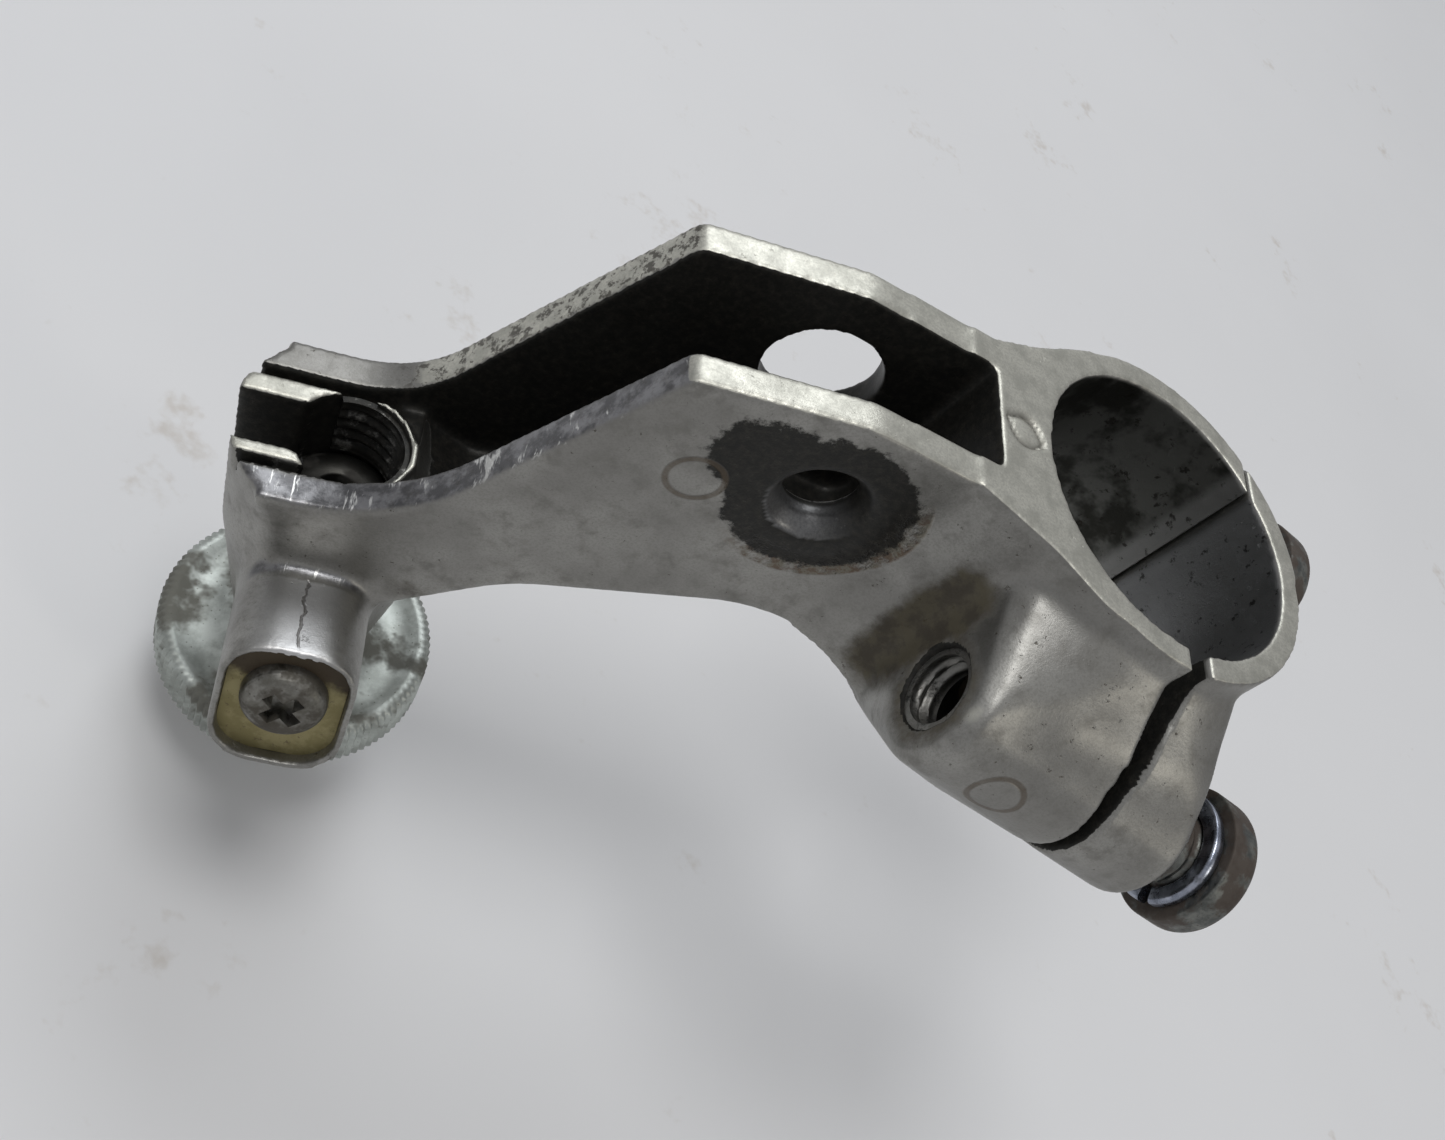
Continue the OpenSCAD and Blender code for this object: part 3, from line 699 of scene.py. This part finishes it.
def boss_flank(mesh):
    """The upper flank of the near boss and foot swells a little between the rim and the bolt."""
    points, normals = points_of(mesh), normals_of(mesh)
    flank = np.array([0, 0.77, 0.64])
    height = 0.55
    depth = 6.2
    spread = 2.1
    swell = height * np.exp(-((points[:, 2] + depth) / spread) ** 2)
    swell *= smooth_step(normals @ flank, 0.75, 0.98) * (points[:, 1] > 10)
    swell *= smooth_step(-points[:, 0], -9.5, -4.5)
    points += swell[:, None] * flank
    set_points(mesh, points)


def keep_in_box(mesh):
    """Pulls points that rounding moved outwards back inside the CAD model's box."""
    low, high = (np.array(corner) / MM for corner in cad_box)
    set_points(mesh, np.clip(points_of(mesh), low + 0.001, high - 0.001))


def casting(node):
    """A CAD casting remeshed, rounded and marked, as a new piece."""
    obj = voxels(clean_copy(node), size_mm=0.25)
    soften(obj.data, passes=42, edge_passes=7)
    boss_flank(obj.data)
    if node == "perch_body":
        scar(obj.data)
    keep_in_box(obj.data)
    casting_masks(obj.data)
    return obj


# ---- turned and threaded pieces ----


def revolve(name, profile, segments=96, radius=None):
    """A closed turned piece from (r, z) points in mm; radius(r, angle) may change the radius."""
    points, faces = [], []
    for r, z in profile:
        for i in range(segments):
            angle = 2 * math.pi * i / segments
            rr = radius(r, angle) if radius else r
            points.append((rr * math.cos(angle), rr * math.sin(angle), z))
    for k in range(len(profile) - 1):
        for i in range(segments):
            j = (i + 1) % segments
            faces.append((k * segments + i, k * segments + j,
                          (k + 1) * segments + j, (k + 1) * segments + i))
    return mesh_object(name, points, faces)


def arc(cx, cz, r, start, end, steps=6):
    """Points (r, z) of an arc, with angles in degrees."""
    return [(cx + r * math.cos(math.radians(start + (end - start) * i / steps)),
             cz + r * math.sin(math.radians(start + (end - start) * i / steps)))
            for i in range(steps + 1)]


def thread(name, crest, root, z0, z1, segments=40, per_pitch=8, inside=False):
    """A helical thread's surface between z0 and z1."""
    rows = round((z1 - z0) / THREAD_PITCH * per_pitch)
    points, faces = [], []
    for k in range(rows + 1):
        z = z0 + (z1 - z0) * k / rows
        fade = min(1, k / per_pitch, (rows - k) / per_pitch)
        for i in range(segments):
            phase = (z / THREAD_PITCH - i / segments) % 1
            depth = (1 - abs(2 * phase - 1)) * fade
            r = crest - (crest - root) * depth
            angle = 2 * math.pi * i / segments
            points.append((r * math.cos(angle), r * math.sin(angle), z))
    for k in range(rows):
        for i in range(segments):
            j = (i + 1) % segments
            quad = (k * segments + i, k * segments + j, (k + 1) * segments + j,
                    (k + 1) * segments + i)
            faces.append(tuple(reversed(quad)) if inside else quad)
    return mesh_object(name, points, faces)


def along(node, axes):
    """Lowest and highest place of a CAD node along a joint's axis, in mm."""
    local = to_local(points_of(frame["nodes"][node].data), axes)
    return local[:, 2].min(), local[:, 2].max()


def dress(obj, material, body, slot, *replaced):
    obj.data.materials.clear()
    obj.data.materials.append(material)
    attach(obj, body)
    if replaced:
        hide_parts(*replaced)
    return obj


def solid_thread(name, core, crest, root, z0, z1):
    """A closed threaded sleeve: outside thread over a core, or inside thread if core is larger."""
    around = 64
    obj = thread(name, crest, root, z0, z1, around, inside=core > crest)
    mesh = bmesh.new()
    mesh.from_mesh(obj.data)
    mesh.verts.ensure_lookup_table()
    count = len(mesh.verts)
    turns = [2 * math.pi * i / around for i in range(around)]
    wall = [[mesh.verts.new((core * math.cos(t), core * math.sin(t), z)) for t in turns]
            for z in (z0, z1)]
    mesh.verts.ensure_lookup_table()
    ends = (mesh.verts[:around], mesh.verts[count - around:count])
    for i in range(around):
        j = (i + 1) % around
        mesh.faces.new((wall[0][i], wall[0][j], wall[1][j], wall[1][i]))
        mesh.faces.new((ends[0][i], ends[0][j], wall[0][j], wall[0][i]))
        mesh.faces.new((ends[1][i], ends[1][j], wall[1][j], wall[1][i]))
    bmesh.ops.recalc_face_normals(mesh, faces=mesh.faces)
    mesh.to_mesh(obj.data)
    mesh.free()
    for polygon in obj.data.polygons:
        polygon.use_smooth = True
    return obj


def join(target, *others):
    """Joins pieces that are built in one local frame into one mesh."""
    mesh = bmesh.new()
    for obj in (target, *others):
        mesh.from_mesh(obj.data)
    mesh.to_mesh(target.data)
    mesh.free()
    for obj in others:
        bpy.data.objects.remove(obj)
    return target


def crisp(obj, degrees=35):
    """Smooth shading that stays sharp at edges steeper than the angle."""
    mesh = bmesh.new()
    mesh.from_mesh(obj.data)
    bmesh.ops.remove_doubles(mesh, verts=mesh.verts, dist=1e-5)
    for edge in mesh.edges:
        edge.smooth = edge.calc_face_angle(0) < math.radians(degrees)
    mesh.to_mesh(obj.data)
    mesh.free()
    return obj


def hexagon(apothem, angle):
    """Radius of a hexagon's side at an angle."""
    turn = (angle + math.pi / 6) % (math.pi / 3) - math.pi / 6
    return apothem / math.cos(turn)


def clamp_bolt(name, axes):
    """Bolt with a rounded head, a hexagon socket and a rolled thread; z points out of the head."""
    tip, back = along(name, axes)
    front = back - 3.3
    socket = 2.0
    profile = ([(0.02, back - 2.4), (socket, back - 1.9), (socket, back - 0.15),
                (socket + 0.35, back)] + arc(4.0, back - 1.2, 1.2, 90, 0, 8)
               + [(5.2, front + 0.45)] + arc(5.0, front + 0.2, 0.2, 0, -90, 3)
               + [(4.4, front), (3.25, front)] + arc(3.25, front - 0.3, 0.3, 90, 180, 4)
               + [(2.93, front - 0.6)])
    head = revolve(name + "_head", profile, 96,
                   lambda r, a: hexagon(r, a) if abs(r - socket) < 0.01 else r)
    shank = thread(name + "_shank", 2.96, 2.52, tip + 0.5, front - 0.5, 64)
    end = revolve(name + "_end", [(2.92, tip + 0.5), (2.4, tip), (0.02, tip)], 64)
    return place(crisp(join(head, shank, end), 40), axes)


def spring_washer(name, axes):
    """Split ring of square wire with rounded edges, sprung open a little at its cut."""
    low, high = along(name, axes)
    inner, outer = 3.06, 4.38
    middle, half, thick = (inner + outer) / 2, (outer - inner) / 2, (high - low) / 2 - 0.09
    steps, around = 90, 12
    cut, sweep = 128, 348
    points, faces = [], []
    for k in range(steps + 1):
        angle = math.radians(cut + sweep * k / steps)
        lift = 0.16 * (k / steps - 0.5)
        for j in range(around):
            t = 2 * math.pi * (j + 0.5) / around
            c, q = math.cos(t), math.sin(t)
            r = middle + half * math.copysign(abs(c) ** 0.45, c)
            z = (low + high) / 2 + lift + thick * math.copysign(abs(q) ** 0.45, q)
            points.append((r * math.cos(angle), r * math.sin(angle), z))
    for k in range(steps):
        for j in range(around):
            m = (j + 1) % around
            faces.append((k * around + j, k * around + m, (k + 1) * around + m,
                          (k + 1) * around + j))
    faces.append(tuple(range(around))[::-1])
    faces.append(tuple(steps * around + j for j in range(around)))
    return place(crisp(mesh_object(name + "_ring", points, faces), 50), axes)


def adjuster_wheel():
    """Knurled wheel with a chamfered rim and a shallow dished face on both sides."""
    low, high = along("adjuster_wheel", ADJUSTER)
    rim = 10.25
    knurl = [(rim - 0.62, low + 0.02), (rim - 0.2, low + 0.22), (rim, low + 0.62),
             (rim, high - 0.62), (rim - 0.2, high - 0.22), (rim - 0.62, high - 0.02)]
    profile = ([(3.95, low + 0.05), (5.4, low), (5.8, low + 0.35), (8.6, low + 0.35),
                (9.1, low)] + knurl + [(9.1, high), (8.6, high - 0.35), (5.8, high - 0.35),
                                       (5.4, high), (3.95, high - 0.05), (3.95, low + 0.05)])

    def teeth(r, angle):
        wave = abs((angle * 100 / (2 * math.pi)) % 1 - 0.5) * 2
        return r - 0.24 * wave * smooth_step(r, rim - 0.5, rim - 0.15)

    return place(crisp(revolve("adjuster_wheel_knurled", profile, 600, teeth), 50), ADJUSTER)


def adjuster_stem():
    """Threaded barrel with a drilled hole for the cable."""
    top, bottom = along("adjuster_stem", ADJUSTER)
    stem = thread("adjuster_stem_threaded", 3.91, 3.45, top + 0.4, bottom - 4.2, 64)
    end = revolve("stem_top", [(1.6, top + 3), (1.6, top + 0.15), (1.75, top), (3.3, top),
                               (3.78, top + 0.4)], 64)
    tail = revolve("stem_tail", [(3.8, bottom - 4.2), (3.9, bottom - 4), (3.9, bottom - 0.2),
                                 (3.7, bottom), (3.3, bottom), (3.22, bottom - 0.1),
                                 (3.22, bottom - 5), (1.6, bottom - 5), (1.6, top + 3)], 64)
    obj = place(crisp(join(stem, end, tail), 50), ADJUSTER)
    depth = to_local(points_of(obj.data), ADJUSTER)[:, 2]
    # painted shade: darkest at the stem's top, inside the lug's bore
    store(obj.data, "bore_shade", smooth_step(depth, top + 9, top + 2))
    return obj


def bore_threads():
    """Threads cut in the boss of the near bolt and in the mouth of the adjuster's bore."""
    hole = solid_thread("near_boss_thread", 3.25, 2.55, 3.0, -12.35, -9.75)
    dress(place(crisp(hole, 60), NEAR_BOLT), ALLOY, "perch", "cast_alloy")
    bore = solid_thread("adjuster_bore_thread", 4.12, 3.62, 3.96, 0.55, 5.8)
    place(bore, ADJUSTER)
    mesh = bmesh.new()
    mesh.from_mesh(bore.data)
    local = to_local(points_of(bore.data), ADJUSTER)
    # no thread where the bore's wall is cut away
    drop = [v for v, c in zip(mesh.verts, local) if c[0] > 3.1 or (c[0] > 1.3 and abs(c[1]) > 2.4)]
    bmesh.ops.delete(mesh, geom=drop, context="VERTS")
    bmesh.ops.holes_fill(mesh, edges=[e for e in mesh.edges if e.is_boundary], sides=0)
    mesh.to_mesh(bore.data)
    mesh.free()
    dress(crisp(bore, 60), ALLOY, "perch", "cast_alloy")
    # grease on the near boss's thread; on the adjuster's bore thread, grease and painted shade
    for obj, grease_and_shade_level in ((hole, 0.42), (bore, 0.62)):
        store(obj.data, "grease_and_shade", np.full(len(obj.data.vertices), grease_and_shade_level))


# ---- build ----

ALLOY = cast_alloy()
ZINC = plated_steel("dull_zinc", (0.34, 0.36, 0.335), (0.50, 0.53, 0.50), (0.11, 0.105, 0.085),
                    0.42, 0.54, 0.45)
BOLT = plated_steel("bolt_steel", (0.10, 0.105, 0.10), (0.20, 0.205, 0.19), (0.055, 0.038, 0.028),
                    0.40, 0.46, 0.9)
BLUED = plated_steel("washer_steel", (0.20, 0.22, 0.27), (0.42, 0.45, 0.53),
                     (0.03, 0.03, 0.033), 0.22, 0.62)
CHROMATE = chromate()
SCREW = plated_steel("screw_steel", (0.16, 0.155, 0.135), (0.26, 0.255, 0.235),
                     (0.05, 0.042, 0.03), 0.38, 0.50, 0.8)
BRASS = plated_steel("seat_brass", (0.36, 0.26, 0.10), (0.48, 0.37, 0.17), (0.12, 0.08, 0.04), 0.4)

dress(casting("perch_body"), ALLOY, "perch", "cast_alloy", "perch_body")
dress(casting("clamp_cap"), ALLOY, "cap", "cast_alloy", "clamp_cap")

for side, axes in (("near", NEAR_BOLT), ("far", FAR_BOLT)):
    bolt, washer = side + "_clamp_bolt", side + "_spring_washer"
    dress(clamp_bolt(bolt, axes), BOLT, side + "_bolt", "bolt_steel", bolt)
    dress(spring_washer(washer, axes), BLUED, "near_washer" if side == "near" else "cap",
          "bolt_steel", washer)
dress(adjuster_wheel(), ZINC, "adjuster", "zinc_steel", "adjuster_wheel")
dress(adjuster_stem(), ZINC, "adjuster", "zinc_steel", "adjuster_stem")
bore_threads()

for node, material in [("cable_seat", BRASS), ("detent_plug", CHROMATE), ("detent_screw", SCREW),
                       ("detent_spring", BLUED), ("detent_pin", BLUED)]:
    data = frame["nodes"][node].data
    data.materials.clear()
    data.materials.append(material)


# ---- table, light and camera ----


def table():
    low = cad_box[0].z - WHEEL_CLEARANCE * MM
    size = 1.2
    floor = mesh_object("table_top", [(-size, -size, low), (size, -size, low),
                                      (size, size, low), (-size, size, low)], [(0, 1, 2, 3)])
    floor.data.materials.append(table_top())


def area_light(name, place, aim, size, power, colour=(1, 1, 1)):
    data = bpy.data.lights.new(name, "AREA")
    data.shape = "DISK"
    data.size = size
    data.energy = power
    data.color = colour
    light = bpy.data.objects.new(name, data)
    light.location = place
    light.rotation_mode = "QUATERNION"
    light.rotation_quaternion = (Vector(aim) - Vector(place)).to_track_quat("-Z", "Y")
    bpy.context.scene.collection.objects.link(light)


def lights():
    world = bpy.data.worlds.new("studio")
    world.use_nodes = True
    world.node_tree.nodes["Background"].inputs["Color"].default_value = (0.96, 0.97, 1.0, 1)
    world.node_tree.nodes["Background"].inputs["Strength"].default_value = 0.44
    bpy.context.scene.world = world
    middle = (0.015, 0, -0.02)
    area_light("top", (0.26, 0.06, 0.76), middle, 0.35, 2.3)
    area_light("lamp", (-0.38, 0.37, 0.28), middle, 0.12, 0.28, (1.0, 0.95, 0.84))
    area_light("window", (0.09, -0.46, 0.50), middle, 0.40, 1.3, (0.94, 0.97, 1.0))
    bpy.context.scene.view_settings.view_transform = "Standard"


def camera():
    """The camera stands in front of the near side, above the clamp's outer face."""
    data = bpy.data.cameras.new("camera")
    data.sensor_width = 36
    data.lens = 47.5
    cam = bpy.data.objects.new("camera", data)
    place = Vector((83.3, 82.8, 65.4)) * MM
    away = Vector((-0.4589, -0.6014, -0.6539)).normalized()
    up_hint = Vector((0.379, -0.798, 0.468))
    right = away.cross(up_hint).normalized()
    up = right.cross(away)
    turn = Matrix([[right[i], up[i], -away[i]] for i in range(3)]).to_4x4()
    cam.matrix_world = Matrix.Translation(place) @ turn
    bpy.context.scene.collection.objects.link(cam)
    bpy.context.scene.camera = cam


table()
lights()
camera()
